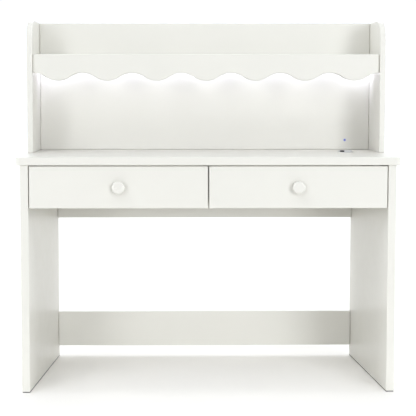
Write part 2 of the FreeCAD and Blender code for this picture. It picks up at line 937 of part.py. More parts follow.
drawer(
    "left",
    -leg_inner + S.front_gap,
    -box_far,
    {"left": hangers["left"], "right": divider},
)
drawer(
    "right",
    S.center_gap / 2,
    box_near,
    {"left": divider, "right": hangers["right"]},
)
group("slide_rail_screws", rail_screws)

# Hutch: two sides, a back panel between them, a shelf and its scalloped valance

hutch_top = S.desk_height + S.hutch_height
hutch_sides = {
    "left": Board(
        "hutch_left_side",
        (-half_width, hutch_front, S.desk_height),
        (-hutch_inner, top_back, hutch_top),
        X_AXIS,
    ),
    "right": Board(
        "hutch_right_side",
        (hutch_inner, hutch_front, S.desk_height),
        (half_width, top_back, hutch_top),
        X_AXIS,
    ),
}
for board in hutch_sides.values():
    round_edges(
        board.body,
        S.hutch_corner,
        lambda box: box.YMax < S.hutch_depth.value / 2 and box.ZMin > S.hutch_height.value / 2,
    )
    board.ease()

hutch_back = Board(
    "hutch_back",
    (-hutch_inner, panel_front, S.desk_height),
    (hutch_inner, panel_back, hutch_top),
    Y_AXIS,
).ease(S.hutch_back_round)

shelf = Board(
    "hutch_shelf",
    (-hutch_inner, valance_back, shelf_bottom),
    (hutch_inner, panel_front, shelf_top),
    Z_AXIS,
)

# The valance's lower edge is a row of lobes and hollows, equal arcs that meet on its middle line

valance_line = shelf_top - S.valance_height - S.scallop_depth / 2
valance = Board(
    "shelf_valance",
    (-hutch_inner, valance_front, valance_line),
    (hutch_inner, valance_back, shelf_top),
    Y_AXIS,
)
pitch = hutch_inner * 2 / S.scallop_count
half_chord = pitch / 4
rise = S.scallop_depth / 2
arc_radius = (half_chord * half_chord + rise * rise) / (rise * 2)


def scallop_sketch(center, side):
    """One arc and its chord on the middle line: a hollow above it, or a lobe below."""
    sketch = sketch_across(valance.body, Y_AXIS)
    reach = math.asin(half_chord.value / arc_radius.value)
    heading = math.pi / 2 * side
    middle = FreeCAD.Vector(formula(center).value, -side * (arc_radius - rise).value)
    ring = Part.Circle(middle, FreeCAD.Vector(0, 0, 1), arc_radius.value)
    arc = Part.ArcOfCircle(ring, heading - reach, heading + reach)
    sketch.addGeometry(arc)
    sketch.addGeometry(Part.LineSegment(arc.EndPoint, arc.StartPoint))
    sketch.addConstraint(Sketcher.Constraint("Coincident", 0, 2, 1, 1))
    sketch.addConstraint(Sketcher.Constraint("Coincident", 0, 1, 1, 2))
    left_end, right_end = (1, 2) if side > 0 else (2, 1)
    pin(sketch, 1, left_end, center - half_chord, 0)
    pin(sketch, 1, right_end, center + half_chord, 0)
    dimension(sketch, arc_radius, "Radius", 0)
    return sketch


def repeat(feature, sketch, count, span):
    pattern = valance.body.newObject("PartDesign::LinearPattern", "Row")
    pattern.Originals = [feature]
    pattern.Direction = (sketch, ["H_Axis"])
    bind(pattern, "Occurrences", count)
    bind(pattern, "Length", span)
    valance.body.Tip = pattern


lobe_sketch = scallop_sketch(pitch / 2, -1)
lobe = pad(valance.body, Y_AXIS, lobe_sketch, S.valance_thickness)
repeat(lobe, lobe_sketch, S.scallop_count, pitch * (S.scallop_count - 1))
hollow_sketch = scallop_sketch(formula(0), 1)
hollow = pocket(valance.body, Y_AXIS, hollow_sketch, 1, S.valance_thickness)
repeat(hollow, hollow_sketch, S.scallop_count + 1, pitch * S.scallop_count)
valance.ease(S.valance_round)

hutch_screws = []
for side, board in hutch_sides.items():
    spots = both_ends(hutch_front, top_back, S.cam_inset)
    points = [(board.middle(X_AXIS), spot, top_under) for spot in spots]
    hutch_screws += screw_joint(hutch_screw, S.hutch_screw_length, desktop, "bottom", board, points)
    panel_heights = both_ends(S.desk_height, hutch_top, S.cam_inset)
    cam_joint(hutch_back, side, "back", board, panel_heights)
    shelf_spots = both_ends(valance_back, panel_front, S.rail_cam_inset)
    cam_joint(shelf, side, "bottom", board, shelf_spots)
group("hutch_screws", hutch_screws)

thirds = [-hutch_inner * 2 / 3, formula(0), hutch_inner * 2 / 3]
panel_middle = hutch_back.middle(Y_AXIS)
wood_dowels(hutch_back, "bottom", desktop, [(spot, panel_middle, S.desk_height) for spot in thirds])
for edge, partner in (("back", hutch_back), ("front", valance)):
    points = [(spot, shelf.face(edge), shelf.middle(Z_AXIS)) for spot in thirds]
    fasteners["dowels"] += dowel_joint(
        drawer_dowel, S.drawer_dowel_diameter, S.drawer_dowel_length, shelf, edge, partner, points
    )

for label, pieces in fasteners.items():
    group(label, pieces)

# Light bar under the shelf

led_half = hutch_inner - S.led_end_gap
led_front = valance_back + S.led_setback
led_back = led_front + S.led_width
led_bottom = shelf_bottom - S.led_height
led_inner_front = led_front + S.led_wall
led_inner_back = led_back - S.led_wall
led_ceiling = shelf_bottom - S.led_wall
led_channel = Board(
    "led_channel",
    (-led_half, led_front, led_bottom),
    (led_half, led_back, shelf_bottom),
    Z_AXIS,
)
led_channel.groove(
    "bottom",
    (-led_half, led_inner_front, led_bottom),
    (led_half, led_inner_back, led_bottom),
    S.led_height - S.led_wall,
)

strip_middle = led_channel.middle(Y_AXIS)
strip_bottom = led_ceiling - S.led_strip_thickness
led_strip = Board(
    "led_strip",
    (-led_half, strip_middle - S.led_strip_width / 2, strip_bottom),
    (led_half, strip_middle + S.led_strip_width / 2, led_ceiling),
    Z_AXIS,
)
chip_sketch = sketch_across(led_strip.body, Z_AXIS, -S.led_chip_height)
chip_start = S.led_chip_margin
chip_low = (S.led_strip_width - S.led_chip) / 2
rectangle(chip_sketch, (chip_start, chip_low), (chip_start + S.led_chip, chip_low + S.led_chip))
chip = pad(led_strip.body, Z_AXIS, chip_sketch, S.led_chip_height)
chips = led_strip.body.newObject("PartDesign::LinearPattern", "Chips")
chips.Originals = [chip]
chips.Direction = (chip_sketch, ["H_Axis"])
bind(chips, "Occurrences", S.led_chip_count)
bind(chips, "Length", (led_half - S.led_chip_margin) * 2 - S.led_chip)
led_strip.body.Tip = chips

led_diffuser = Board(
    "led_diffuser",
    (-led_half, led_inner_front + S.panel_gap, led_bottom),
    (led_half, led_inner_back - S.panel_gap, led_bottom + S.led_diffuser_thickness),
    Z_AXIS,
)

led_cap = new_body("led_cap_master")
cap_sketch = sketch_across(led_cap, X_AXIS)
rectangle(cap_sketch, (0, 0), (S.led_width, S.led_height))
pad(led_cap, X_AXIS, cap_sketch, S.led_cap_thickness)
group("led_end_caps", [
    copy_of(led_cap, (-led_half - S.led_cap_thickness, led_front, led_bottom)),
    copy_of(led_cap, (led_half, led_front, led_bottom)),
])

# Switch in the back panel, with its module and inlet behind

sensor_x = hutch_inner - S.sensor_from_side
sensor_z = S.desk_height + S.sensor_rise
barrel_radius = S.sensor_diameter / 2
lens_seat = S.sensor_lens_diameter / 2 + S.fit_gap
barrel_length = S.hutch_back_thickness + S.sensor_flange
lens_floor = barrel_length - S.sensor_lens_length
sensor_flange_radius = S.sensor_flange_diameter / 2
sensor_barrel = keep(turned("sensor_barrel", [
    (0, 0),
    (barrel_radius, 0),
    (barrel_radius, S.hutch_back_thickness),
    (sensor_flange_radius, S.hutch_back_thickness),
    (sensor_flange_radius, barrel_length),
    (lens_seat, barrel_length),
    (lens_seat, lens_floor),
    (0, lens_floor),
]))
place(sensor_barrel, (sensor_x, panel_back, sensor_z), TURN_FORWARD)
hutch_back.drill(
    "front",
    [(sensor_x, panel_front, sensor_z)],
    S.sensor_diameter + S.fit_gap * 2,
)
sensor_lens = keep(dowel_master("sensor_lens", S.sensor_lens_diameter, S.sensor_lens_length))
place(sensor_lens, (sensor_x, panel_back - lens_floor, sensor_z), TURN_FORWARD)

module_low = sensor_z - S.module_height / 2
module_high = sensor_z + S.module_height / 2
module_middle = panel_back + S.module_depth / 2
sensor_module = Board(
    "sensor_module",
    (sensor_x - S.module_width / 2, panel_back, module_low),
    (sensor_x + S.module_width / 2, panel_back + S.module_depth, module_high),
    Y_AXIS,
)
inlet_point = (sensor_x - S.inlet_offset, module_middle, module_high)
sensor_module.drill("top", [inlet_point], S.inlet_diameter + S.fit_gap * 2, S.inlet_length)
inlet_radius = S.inlet_diameter / 2
inlet_bore_radius = S.inlet_bore / 2
inlet_floor = S.inlet_length - S.inlet_recess
power_inlet = keep(turned("power_inlet", [
    (0, 0),
    (inlet_radius, 0),
    (inlet_radius, S.inlet_length),
    (inlet_bore_radius, S.inlet_length),
    (inlet_bore_radius, inlet_floor),
    (0, inlet_floor),
]))
place(power_inlet, moved(inlet_point, "top", -S.inlet_length))

# The lead leaves the light bar, passes through the back panel and runs down to the module

lead_x = sensor_x
lead_offset = S.module_depth / 2
lead_z = shelf_bottom - lead_offset
lead_hole_point = (lead_x, panel_front, lead_z)
hutch_back.drill("front", [lead_hole_point], S.lead_hole)
lead = keep(new_body("led_lead"))
lead_route = sketch_across(lead, X_AXIS)
lead_run = panel_back + lead_offset - led_back
bend_start = lead_run - S.lead_bend
lead_drop = lead_z - module_high
corner = FreeCAD.Vector(bend_start.value, -S.lead_bend.value)
bend = Part.ArcOfCircle(Part.Circle(corner, FreeCAD.Vector(0, 0, 1), S.lead_bend.value), 0, math.pi / 2)
lead_route.addGeometry(Part.LineSegment(FreeCAD.Vector(), FreeCAD.Vector(bend_start.value, 0)))
lead_route.addGeometry(bend)
lead_end = FreeCAD.Vector(lead_run.value, -lead_drop.value)
lead_route.addGeometry(Part.LineSegment(FreeCAD.Vector(lead_run.value, -S.lead_bend.value), lead_end))
lead_route.addConstraint(Sketcher.Constraint("Coincident", 0, 1, *ORIGIN_POINT))
lead_route.addConstraint(Sketcher.Constraint("Tangent", 0, 2, 1, 2))
lead_route.addConstraint(Sketcher.Constraint("Tangent", 1, 1, 2, 1))
lead_route.addConstraint(Sketcher.Constraint("Horizontal", 0))
dimension(lead_route, S.lead_bend, "Radius", 1)
pin(lead_route, 2, 2, lead_run, -lead_drop)
lead_section = sketch_across(lead, Y_AXIS)
circle(lead_section, 0, 0, S.lead_diameter)
lead_pipe = lead.newObject("PartDesign::AdditivePipe", "Lead")
lead_pipe.Profile = lead_section
lead_pipe.Spine = lead_route
place(lead, (lead_x, led_back, lead_z))

clip = new_body("lead_clip_master")
clip_sketch = sketch_across(clip, Z_AXIS)
rectangle(clip_sketch, (-S.clip_width / 2, 0), (S.clip_width / 2, S.clip_depth))
pad(clip, Z_AXIS, clip_sketch, S.clip_height)
clip_bore = sketch_across(clip, Z_AXIS)
circle(clip_bore, 0, lead_offset, S.lead_diameter + S.fit_gap * 2)
pocket(clip, Z_AXIS, clip_bore, 1)
clip_heights = [module_high + lead_drop / 3, module_high + lead_drop * 2 / 3]
clips = [copy_of(clip, (lead_x, panel_back, height)) for height in clip_heights]
clips.append(copy_of(clip, (lead_x, (led_back + panel_front) / 2, shelf_bottom), TURN_UNDER))
group("lead_clips", clips)

# Cable grommet: a flanged sleeve, and a notched cap that turns on a ledge inside it

grommet_x = half_width - S.grommet_from_side
grommet_y = top_front + S.grommet_from_front
desktop.drill(
    "top",
    [(grommet_x, grommet_y, S.desk_height)],
    S.grommet_diameter,
)
sleeve_outer = S.grommet_diameter / 2 - S.fit_gap
sleeve_inner = sleeve_outer - S.grommet_wall
flange_radius = S.grommet_flange_diameter / 2
ledge_radius = sleeve_inner - S.grommet_ledge
seat_height = S.top_thickness - S.grommet_seat_depth
ledge_bottom = seat_height - S.grommet_ledge
sleeve_top = S.top_thickness + S.grommet_flange
grommet_sleeve = keep(turned("grommet_sleeve", [
    (sleeve_inner, 0),
    (sleeve_outer, 0),
    (sleeve_outer, S.top_thickness),
    (flange_radius, S.top_thickness),
    (flange_radius, sleeve_top),
    (sleeve_inner, sleeve_top),
    (sleeve_inner, seat_height),
    (ledge_radius, seat_height),
    (ledge_radius, ledge_bottom),
    (sleeve_inner, ledge_bottom),
]))
place(grommet_sleeve, (grommet_x, grommet_y, top_under))

cap_radius = sleeve_inner - S.cap_run_gap
skirt_radius = cap_radius - S.cap_wall
cap_top = S.grommet_seat_depth + S.cap_rise
cap_ceiling = cap_top - S.cap_thickness
grommet_cap = keep(turned("grommet_cap", [
    (skirt_radius, 0),
    (cap_radius, 0),
    (cap_radius, cap_top),
    (0, cap_top),
    (0, cap_ceiling),
    (skirt_radius, cap_ceiling),
]))
notch_half = S.cap_notch_width / 2
notch_sketch = sketch_across(grommet_cap, Z_AXIS, cap_top)
rectangle(
    notch_sketch,
    (-notch_half, -cap_radius - S.cap_wall),
    (notch_half, S.cap_notch_length - cap_radius),
)
pocket(grommet_cap, Z_AXIS, notch_sketch, -1)
place(
    grommet_cap,
    (grommet_x, grommet_y, S.desk_height - S.grommet_seat_depth),
    FreeCAD.Rotation(FreeCAD.Vector(0, 0, -1), S.cap_turn.value),
)
bind(grommet_cap, "Placement.Rotation.Angle", S.cap_turn)

# Every object has to be sound, and every cut has to remove something, before the files are written

doc.recompute()
for part in doc.Objects:
    if {"Invalid", "Error"} & set(part.State):
        raise RuntimeError(f"{part.Label} failed: {part.State}")
    if part.isDerivedFrom("PartDesign::Pocket") and part.Shape.Volume >= part.BaseFeature.Shape.Volume:
        raise RuntimeError(f"{part.Label} cuts nothing")

os.makedirs("parts", exist_ok=True)
for part in sub_parts:
    if part.Shape.isNull() or not part.Shape.isValid():
        raise RuntimeError(f"{part.Label} has no sound shape")
for part in sub_parts:
    part.Shape.exportStep(f"parts/{part.Label}.step")
print(f"{len(sub_parts)} sub-parts written")
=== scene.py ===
import json
import math

import bpy
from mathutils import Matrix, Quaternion, Vector

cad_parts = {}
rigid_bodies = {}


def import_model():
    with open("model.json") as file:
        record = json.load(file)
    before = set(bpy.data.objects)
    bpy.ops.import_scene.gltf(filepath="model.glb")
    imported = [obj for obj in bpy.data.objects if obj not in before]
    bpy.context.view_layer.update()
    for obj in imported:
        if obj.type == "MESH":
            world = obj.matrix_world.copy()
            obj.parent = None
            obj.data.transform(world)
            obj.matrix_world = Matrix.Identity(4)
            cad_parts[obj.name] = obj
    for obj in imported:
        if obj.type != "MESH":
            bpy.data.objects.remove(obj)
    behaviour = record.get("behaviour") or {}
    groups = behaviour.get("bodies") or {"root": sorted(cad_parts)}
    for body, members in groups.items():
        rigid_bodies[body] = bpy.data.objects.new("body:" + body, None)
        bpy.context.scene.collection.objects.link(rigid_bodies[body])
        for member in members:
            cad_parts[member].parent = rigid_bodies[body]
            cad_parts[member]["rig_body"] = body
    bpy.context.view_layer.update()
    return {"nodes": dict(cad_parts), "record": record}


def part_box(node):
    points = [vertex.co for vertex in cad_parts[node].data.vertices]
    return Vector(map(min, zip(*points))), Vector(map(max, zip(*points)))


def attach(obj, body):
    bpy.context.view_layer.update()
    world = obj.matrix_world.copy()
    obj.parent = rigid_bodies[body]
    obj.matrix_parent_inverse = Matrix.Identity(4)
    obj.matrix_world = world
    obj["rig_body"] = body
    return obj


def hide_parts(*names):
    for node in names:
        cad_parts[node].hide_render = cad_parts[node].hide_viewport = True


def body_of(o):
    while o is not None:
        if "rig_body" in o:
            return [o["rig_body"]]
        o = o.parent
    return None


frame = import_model()
nodes = frame["nodes"]
subparts = frame["record"]["subparts"]


# Shader nodes. Lengths are in metres throughout.

# The mix node's factor and two colours, and its result, by number because their names repeat
MIX_INPUTS, MIX_RESULT = (0, 6, 7), 2
# Planes in which a distance from a node's axis is taken
LEVEL_PLANE, FRONT_PLANE = (1.0, 1.0, 0.0), (1.0, 0.0, 1.0)


class NodeTree:
    """The nodes of a material or of the studio's surroundings, under construction."""

    def __init__(self, owner):
        owner.use_nodes = True
        self.tree = owner.node_tree

    def feed(self, socket, value):
        """Links another node's output to the socket, or sets a plain value on it."""
        if isinstance(value, bpy.types.NodeSocket):
            self.tree.links.new(value, socket)
        else:
            socket.default_value = value

    def add(self, kind, inputs=(), **settings):
        node = self.tree.nodes.new(kind)
        for name, value in settings.items():
            setattr(node, name, value)
        for name, value in dict(inputs).items():
            self.feed(node.inputs[name], value)
        return node

    def split(self, place):
        """A place's X, Y and Z."""
        return self.add("ShaderNodeSeparateXYZ", {"Vector": place}).outputs

    def math(self, operation, first, second=0.0):
        return self.add("ShaderNodeMath", {0: first, 1: second}, operation=operation).outputs["Value"]

    def vector_math(self, operation, first, second=(0.0, 0.0, 0.0)):
        return self.add("ShaderNodeVectorMath", {0: first, 1: second}, operation=operation).outputs

    def spread(self, value, low=0.0, high=1.0, start=0.3, end=0.7):
        """Maps the range from start to end onto low to high. Most of a noise lies from 0.3 to 0.7."""
        inputs = {"Value": value, "From Min": start, "From Max": end, "To Min": low, "To Max": high}
        return self.add("ShaderNodeMapRange", inputs).outputs["Result"]

    def blend(self, factor, first, second):
        """A colour that goes from the first to the second as the factor goes from 0 to 1."""
        node = self.add("ShaderNodeMix", data_type="RGBA")
        for number, value in zip(MIX_INPUTS, (factor, first, second)):
            self.feed(node.inputs[number], (*value, 1.0) if isinstance(value, tuple) else value)
        return node.outputs[MIX_RESULT]


class Material(NodeTree):
    """A material under construction. Every pattern is laid out in the part's own coordinates."""

    def __init__(self, name):
        self.material = bpy.data.materials.new(name)
        super().__init__(self.material)
        self.shader = self.tree.nodes["Principled BSDF"]
        self.place = self.add("ShaderNodeTexCoord").outputs["Object"]

    def set(self, **values):
        """Sets the shader's own sockets, named with underscores for spaces."""
        for name, value in values.items():
            self.feed(self.shader.inputs[name.replace("_", " ")], value)

    def noise(self, scale, detail=2.0, roughness=0.5, stretch=None):
        """A random pattern. The larger its stretch along an axis, the finer it is that way."""
        place = self.place
        if stretch:
            place = self.add("ShaderNodeMapping", {"Vector": place, "Scale": stretch}).outputs["Vector"]
        inputs = {"Vector": place, "Scale": scale, "Detail": detail, "Roughness": roughness}
        return self.add("ShaderNodeTexNoise", inputs).outputs["Fac"]

    def bump(self, height, strength, distance):
        inputs = {"Height": height, "Strength": strength, "Distance": distance}
        return self.add("ShaderNodeBump", inputs).outputs["Normal"]

    def from_middle(self, node, plane):
        """The way from a node's middle, its length in the plane, and half the node's size."""
        low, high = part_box(node)
        offset = self.vector_math("SUBTRACT", self.place, tuple((low + high) / 2))["Vector"]
        flat = self.vector_math("MULTIPLY", offset, plane)["Vector"]
        return offset, self.vector_math("LENGTH", flat)["Value"], (high - low) / 2


# Finishes

WHITE = (0.703, 0.689, 0.636)
KNOB_WHITE = (0.702, 0.688, 0.637)
BEZEL_WHITE = (0.68, 0.675, 0.655)
GROMMET_GREY = (0.56, 0.565, 0.56)
# Painted shade: the black given to the inside of the grommet's well
PAINTED_SHADE_BLACK = (0.008, 0.008, 0.009)
DARK = (0.0, 0.0, 0.0)
# The light strip's chips: how many, how wide, how far the first is from the strip's end, and how
# much of the strip's height they take up
CHIP_COUNT, CHIP, CHIP_MARGIN, CHIP_FACE = 38, 0.005, 0.01, 0.0014


def scaled(color, factor):
    return tuple(channel * factor for channel in color)


def painted_board(name, color, gloss=0.36):
    """Sprayed satin paint: a fine orange peel, faint clouding, and a sheen that varies a little."""
    made = Material(name)
    cloud = made.noise(scale=3.2, detail=4.0, roughness=0.55)
    sheen = made.noise(scale=26.0, detail=3.0)
    peel = made.noise(scale=420.0, roughness=0.6)
    made.set(
        Base_Color=made.blend(made.spread(cloud), scaled(color, 0.978), color),
        Roughness=made.spread(sheen, gloss - 0.04, gloss + 0.05),
        Normal=made.bump(peel, strength=0.05, distance=0.0006),
        Specular_IOR_Level=0.45,
    )
    return made.material


def melamine(name, color):
    """Board faced with a white foil, with a fine pressed grain."""
    made = Material(name)
    grain = made.noise(scale=60.0, detail=5.0, roughness=0.6, stretch=(14.0, 1.0, 14.0))
    cloud = made.noise(scale=5.0, detail=3.0)
    made.set(
        Base_Color=made.blend(made.spread(cloud), scaled(color, 0.965), color),
        Roughness=made.spread(grain, 0.42, 0.54),
        Normal=made.bump(grain, strength=0.08, distance=0.0003),
    )
    return made.material


def beech(name):
    """Pale brown wood with wavy rings and dark flecks."""
    made = Material(name)
    rings = made.noise(scale=9.0, detail=6.0, roughness=0.65, stretch=(18.0, 18.0, 3.0))
    flecks = made.spread(made.noise(scale=700.0), high=0.35, start=0.55)
    wood = made.blend(made.spread(rings), (0.46, 0.29, 0.16), (0.62, 0.44, 0.27))
    made.set(
        Base_Color=made.blend(flecks, wood, (0.34, 0.2, 0.1)),
        Roughness=made.spread(rings, 0.55, 0.7),
        Normal=made.bump(rings, strength=0.2, distance=0.0004),
    )
    return made.material


def drawn_metal(name, color, stretch):
    """Plated or anodised metal with drawn streaks and a faint straw bloom."""
    made = Material(name)
    streaks = made.noise(scale=160.0, detail=4.0, roughness=0.6, stretch=stretch)
    bloom = made.noise(scale=14.0, detail=3.0)
    straw = tuple(channel * share for channel, share in zip(color, (1.02, 1.01, 0.96)))
    made.set(
        Base_Color=made.blend(made.spread(bloom), scaled(color, 0.9), straw),
        Metallic=1.0,
        Roughness=made.spread(streaks, 0.26, 0.42),
        Normal=made.bump(streaks, strength=0.08, distance=0.0002),
    )
    return made.material


def cast_metal(name, color):
    """Cast zinc with a sandy skin."""
    made = Material(name)
    grain = made.noise(scale=520.0, detail=4.0, roughness=0.6)
    made.set(
        Base_Color=made.blend(made.spread(grain), scaled(color, 0.85), color),
        Metallic=1.0,
        Roughness=made.spread(grain, 0.42, 0.58),
        Normal=made.bump(grain, strength=0.25, distance=0.0003),
    )
    return made.material


def moulded(name, color, gloss, grain_scale=900.0):
    """Moulded plastic with a fine spark grain and a slight change of tone."""
    made = Material(name)
    grain = made.noise(scale=grain_scale, detail=3.0, roughness=0.6)
    tone = made.noise(scale=24.0, detail=3.0)
    made.set(
        Base_Color=made.blend(made.spread(tone), scaled(color, 0.94), color),
        Roughness=made.spread(grain, gloss - 0.05, gloss + 0.07),
        Normal=made.bump(grain, strength=0.12, distance=0.0003),
    )
    return made.material


def grommet_plastic_painted_shade(name, color, node):
    """Grey plastic outside, with painted shade inside: its unlit well is coloured black."""
    skin, lip = 0.0007, 0.0005
    made = Material(name)
    offset, reach, half = made.from_middle(node, LEVEL_PLANE)
    inside = made.math("LESS_THAN", reach, half.x - skin)
    under = made.math("LESS_THAN", made.split(offset)["Z"], half.z - lip)
    grain = made.noise(scale=900.0, detail=3.0, roughness=0.6)
    tone = made.noise(scale=40.0, detail=3.0)
    grey = made.blend(made.spread(tone), scaled(color, 0.94), color)
    made.set(
        # Painted shade: inside the bore and below the lip the colour is black
        Base_Color=made.blend(made.math("MULTIPLY", inside, under), grey, PAINTED_SHADE_BLACK),
        Roughness=made.spread(grain, 0.4, 0.5),
        Normal=made.bump(grain, strength=0.1, distance=0.0003),
    )
    return made.material


def light_strip(name):
    """A white circuit strip with a slightly uneven mask, and glowing yellow-faced chips under it."""
    made = Material(name)
    low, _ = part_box("led_strip")
    chip = made.math("LESS_THAN", made.split(made.place)["Z"], low.z + CHIP_FACE)
    weave = made.noise(scale=300.0)
    mask = made.blend(made.spread(weave), (0.82, 0.82, 0.78), (0.9, 0.9, 0.87))
    made.set(
        Base_Color=made.blend(chip, mask, (0.9, 0.78, 0.3)),
        Roughness=made.spread(weave, 0.35, 0.5),
        Emission_Color=made.blend(chip, DARK, (1.0, 0.95, 0.86)),
        Emission_Strength=4.0,
    )
    return made.material


def diffuser(name):
    """An opal cover, lit from behind, a little brighter under each chip."""
    made = Material(name)
    low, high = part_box("led_strip")
    pitch = (high.x - low.x - CHIP_MARGIN * 2 - CHIP) / (CHIP_COUNT - 1)
    wave = made.math("COSINE", made.math("MULTIPLY", made.split(made.place)["X"], 2 * math.pi / pitch))
    glow = made.spread(wave, low=1.0, high=0.0, start=-1.0, end=1.0)
    grain = made.noise(scale=500.0)
    made.set(
        Base_Color=made.blend(made.spread(grain), (0.86, 0.87, 0.88), (0.92, 0.92, 0.93)),
        Roughness=made.spread(grain, 0.4, 0.55),
        Emission_Color=made.blend(glow, (0.93, 0.93, 0.92), (1.0, 1.0, 0.99)),
        Emission_Strength=1.8,
    )
    return made.material


def indicator(name):
    """A clear blue lens over a small lamp, brightest at its middle."""
    made = Material(name)
    _, reach, half = made.from_middle("sensor_lens", FRONT_PLANE)
    rim = made.spread(reach, start=0.0, end=half.x)
    frost = made.noise(scale=1500.0)
    made.set(
        Base_Color=made.blend(rim, (0.16, 0.2, 0.62), (0.05, 0.07, 0.32)),
        Roughness=made.spread(frost, 0.12, 0.22),
        Emission_Color=made.blend(rim, (0.2, 0.24, 0.7), (0.05, 0.07, 0.3)),
        Emission_Strength=0.36,
    )
    return made.material


def bezel_with_painted_glow(name, color):
    """White plastic round the indicator, darker near the lens, with a painted glow there in place of the
    indicator's light shining through.
    """
    lit_radius = 0.003
    made = Material(name)
    _, reach, half = made.from_middle("sensor_barrel", FRONT_PLANE)
    rim = made.spread(reach, start=lit_radius, end=half.x)
    grain = made.noise(scale=900.0, detail=3.0, roughness=0.6)
    made.set(
        Base_Color=made.blend(rim, scaled(color, 0.7), color),
        Roughness=made.spread(grain, 0.33, 0.45),
        Normal=made.bump(grain, strength=0.12, distance=0.0003),
        # Painted light: the ring round the lens glows blue, though the bezel is no lamp
        Emission_Color=made.blend(rim, (0.1, 0.12, 0.5), DARK),
        Emission_Strength=0.4,
    )
    return made.material


finishes = {
    "white_paint": painted_board("satin_white_paint", WHITE),
    "white_knob": painted_board("lacquered_knob", KNOB_WHITE, gloss=0.28),
    "drawer_board": melamine("white_melamine", (0.748, 0.739, 0.705)),
    "drawer_bottom": melamine("white_hardboard", (0.69, 0.688, 0.655)),
    "beech": beech("beech_dowel"),
    "zinc_sheet": drawn_metal("zinc_sheet", (0.62, 0.635, 0.65), stretch=(12.0, 0.6, 12.0)),
    "zinc_screw": drawn_metal("zinc_screw", (0.58, 0.59, 0.6), stretch=(6.0, 6.0, 6.0)),
    "cast_zinc": cast_metal("cast_zinc", (0.52, 0.53, 0.54)),
    "aluminium": drawn_metal("anodised_aluminium", (0.78, 0.785, 0.79), stretch=(0.5, 16.0, 16.0)),
    "circuit_strip": light_strip("light_strip"),
    "diffuser": diffuser("opal_diffuser"),
    "white_plastic": moulded("white_plastic", (0.8, 0.8, 0.785), gloss=0.38),
    "white_lead": moulded("white_lead", (0.76, 0.76, 0.745), gloss=0.5, grain_scale=400.0),
    "blue_lens": indicator("blue_indicator"),
    "black_plastic": moulded("black_plastic", (0.022, 0.022, 0.024), gloss=0.45),
    "grey_plastic": moulded("grey_plastic", (0.5, 0.5, 0.49), gloss=0.45),
}
own_finish = {
    "sensor_barrel": bezel_with_painted_glow("indicator_bezel", BEZEL_WHITE),
    "grommet_sleeve": grommet_plastic_painted_shade("grommet_sleeve_plastic", GROMMET_GREY, "grommet_sleeve"),
    "grommet_cap": grommet_plastic_painted_shade("grommet_cap_plastic", GROMMET_GREY, "grommet_cap"),
}
for entry in subparts:
    finish = own_finish.get(entry["node"], finishes[entry["material_slot"]])
    mesh = nodes[entry["node"]].data
    mesh.materials.clear()
    mesh.materials.append(finish)


# Modelling by hand: what is selected is chosen by place or by the way a face looks

def pick_faces(piece, wanted):
    """Opens the piece for editing, with only the wanted faces selected."""
    bpy.context.tool_settings.mesh_select_mode = (False, False, True)
    bpy.ops.object.mode_set(mode="EDIT")
    bpy.ops.mesh.select_all(action="DESELECT")
    bpy.ops.object.mode_set(mode="OBJECT")
    for face in piece.data.polygons:
        face.select = wanted(face)
    bpy.ops.object.mode_set(mode="EDIT")


def draw_out(distance, factor=1.0):
    """Extrudes the selected faces upwards and then narrows or widens them."""
    bpy.ops.mesh.extrude_region_move(TRANSFORM_OT_translate={"value": (0.0, 0.0, distance)})
    if factor != 1.0:
        bpy.ops.transform.resize(value=(factor, factor, 1.0))


def only(*pieces):
    """Selects these pieces and nothing else, and makes the first one active."""
    bpy.ops.object.select_all(action="DESELECT")
    for piece in pieces:
        piece.select_set(True)
    bpy.context.view_layer.objects.active = pieces[0]


def cut_away(piece, cutter):
    """Cuts the cutter's shape out of the piece, and removes the cutter."""
    only(piece)
    hollow = piece.modifiers.new("recess", "BOOLEAN")
    hollow.operation = "DIFFERENCE"
    hollow.solver = "EXACT"
    hollow.object = cutter
    bpy.ops.object.modifier_apply(modifier=hollow.name)
    bpy.data.objects.remove(cutter)


# Screws: a pan head with a cross recess on a ridged shank

# Radii, from the tip to the head
SHANK_TIP, SHANK_ROOT, SHANK, HEAD = 0.0004, 0.0016, 0.002, 0.004
SCREW_SIDES = 20
POINT_LENGTH, NECK_LENGTH, RIDGE_PITCH = 0.004, 0.0012, 0.0014
HEAD_HEIGHT = 0.0018
# The head's dome: each step's share of its height, and the share of its width that it keeps
HEAD_STEPS = ((0.42, 1.0), (0.26, 0.92), (0.2, 0.84), (0.12, 0.7))
SMOOTH_ANGLE = math.radians(32.0)
# The recess's bit: width and length of its arms, its height, and the share of its width at its end
BIT_CORE, BIT_ARM, BIT_HEIGHT, BIT_TAPER = 0.001, 0.0016, 0.0024, 0.5
# Each screw of a node stops this many radians further round than the one before
SCREW_TURN = 0.7


def cross_bit(top):
    """The shape of a screwdriver's tip: four arms that narrow downwards, half sunk below the top."""
    bpy.ops.object.select_all(action="DESELECT")
    bpy.ops.mesh.primitive_cube_add(size=BIT_CORE, location=(0.0, 0.0, top))
    bit = bpy.context.object
    bpy.ops.object.transform_apply(location=True)
    pick_faces(bit, lambda face: abs(face.normal.z) > 0.5)
    bpy.ops.transform.resize(value=(1.0, 1.0, BIT_HEIGHT / BIT_CORE))
    for way in (Vector((1, 0, 0)), Vector((-1, 0, 0)), Vector((0, 1, 0)), Vector((0, -1, 0))):
        # Only the core's own face has its middle straight ahead
        pick_faces(bit, lambda face: (face.normal.dot(way) > 0.9
                                      and abs(face.center.cross(way).z) < BIT_CORE / 2))
        bpy.ops.mesh.extrude_region_move(TRANSFORM_OT_translate={"value": way * BIT_ARM})
    pick_faces(bit, lambda face: face.normal.z < -0.5)
    bit_end = (0.0, 0.0, top - BIT_HEIGHT / 2)
    bpy.ops.transform.resize(value=(BIT_TAPER, BIT_TAPER, 1.0), center_override=bit_end)
    bpy.ops.object.mode_set(mode="OBJECT")
    return bit


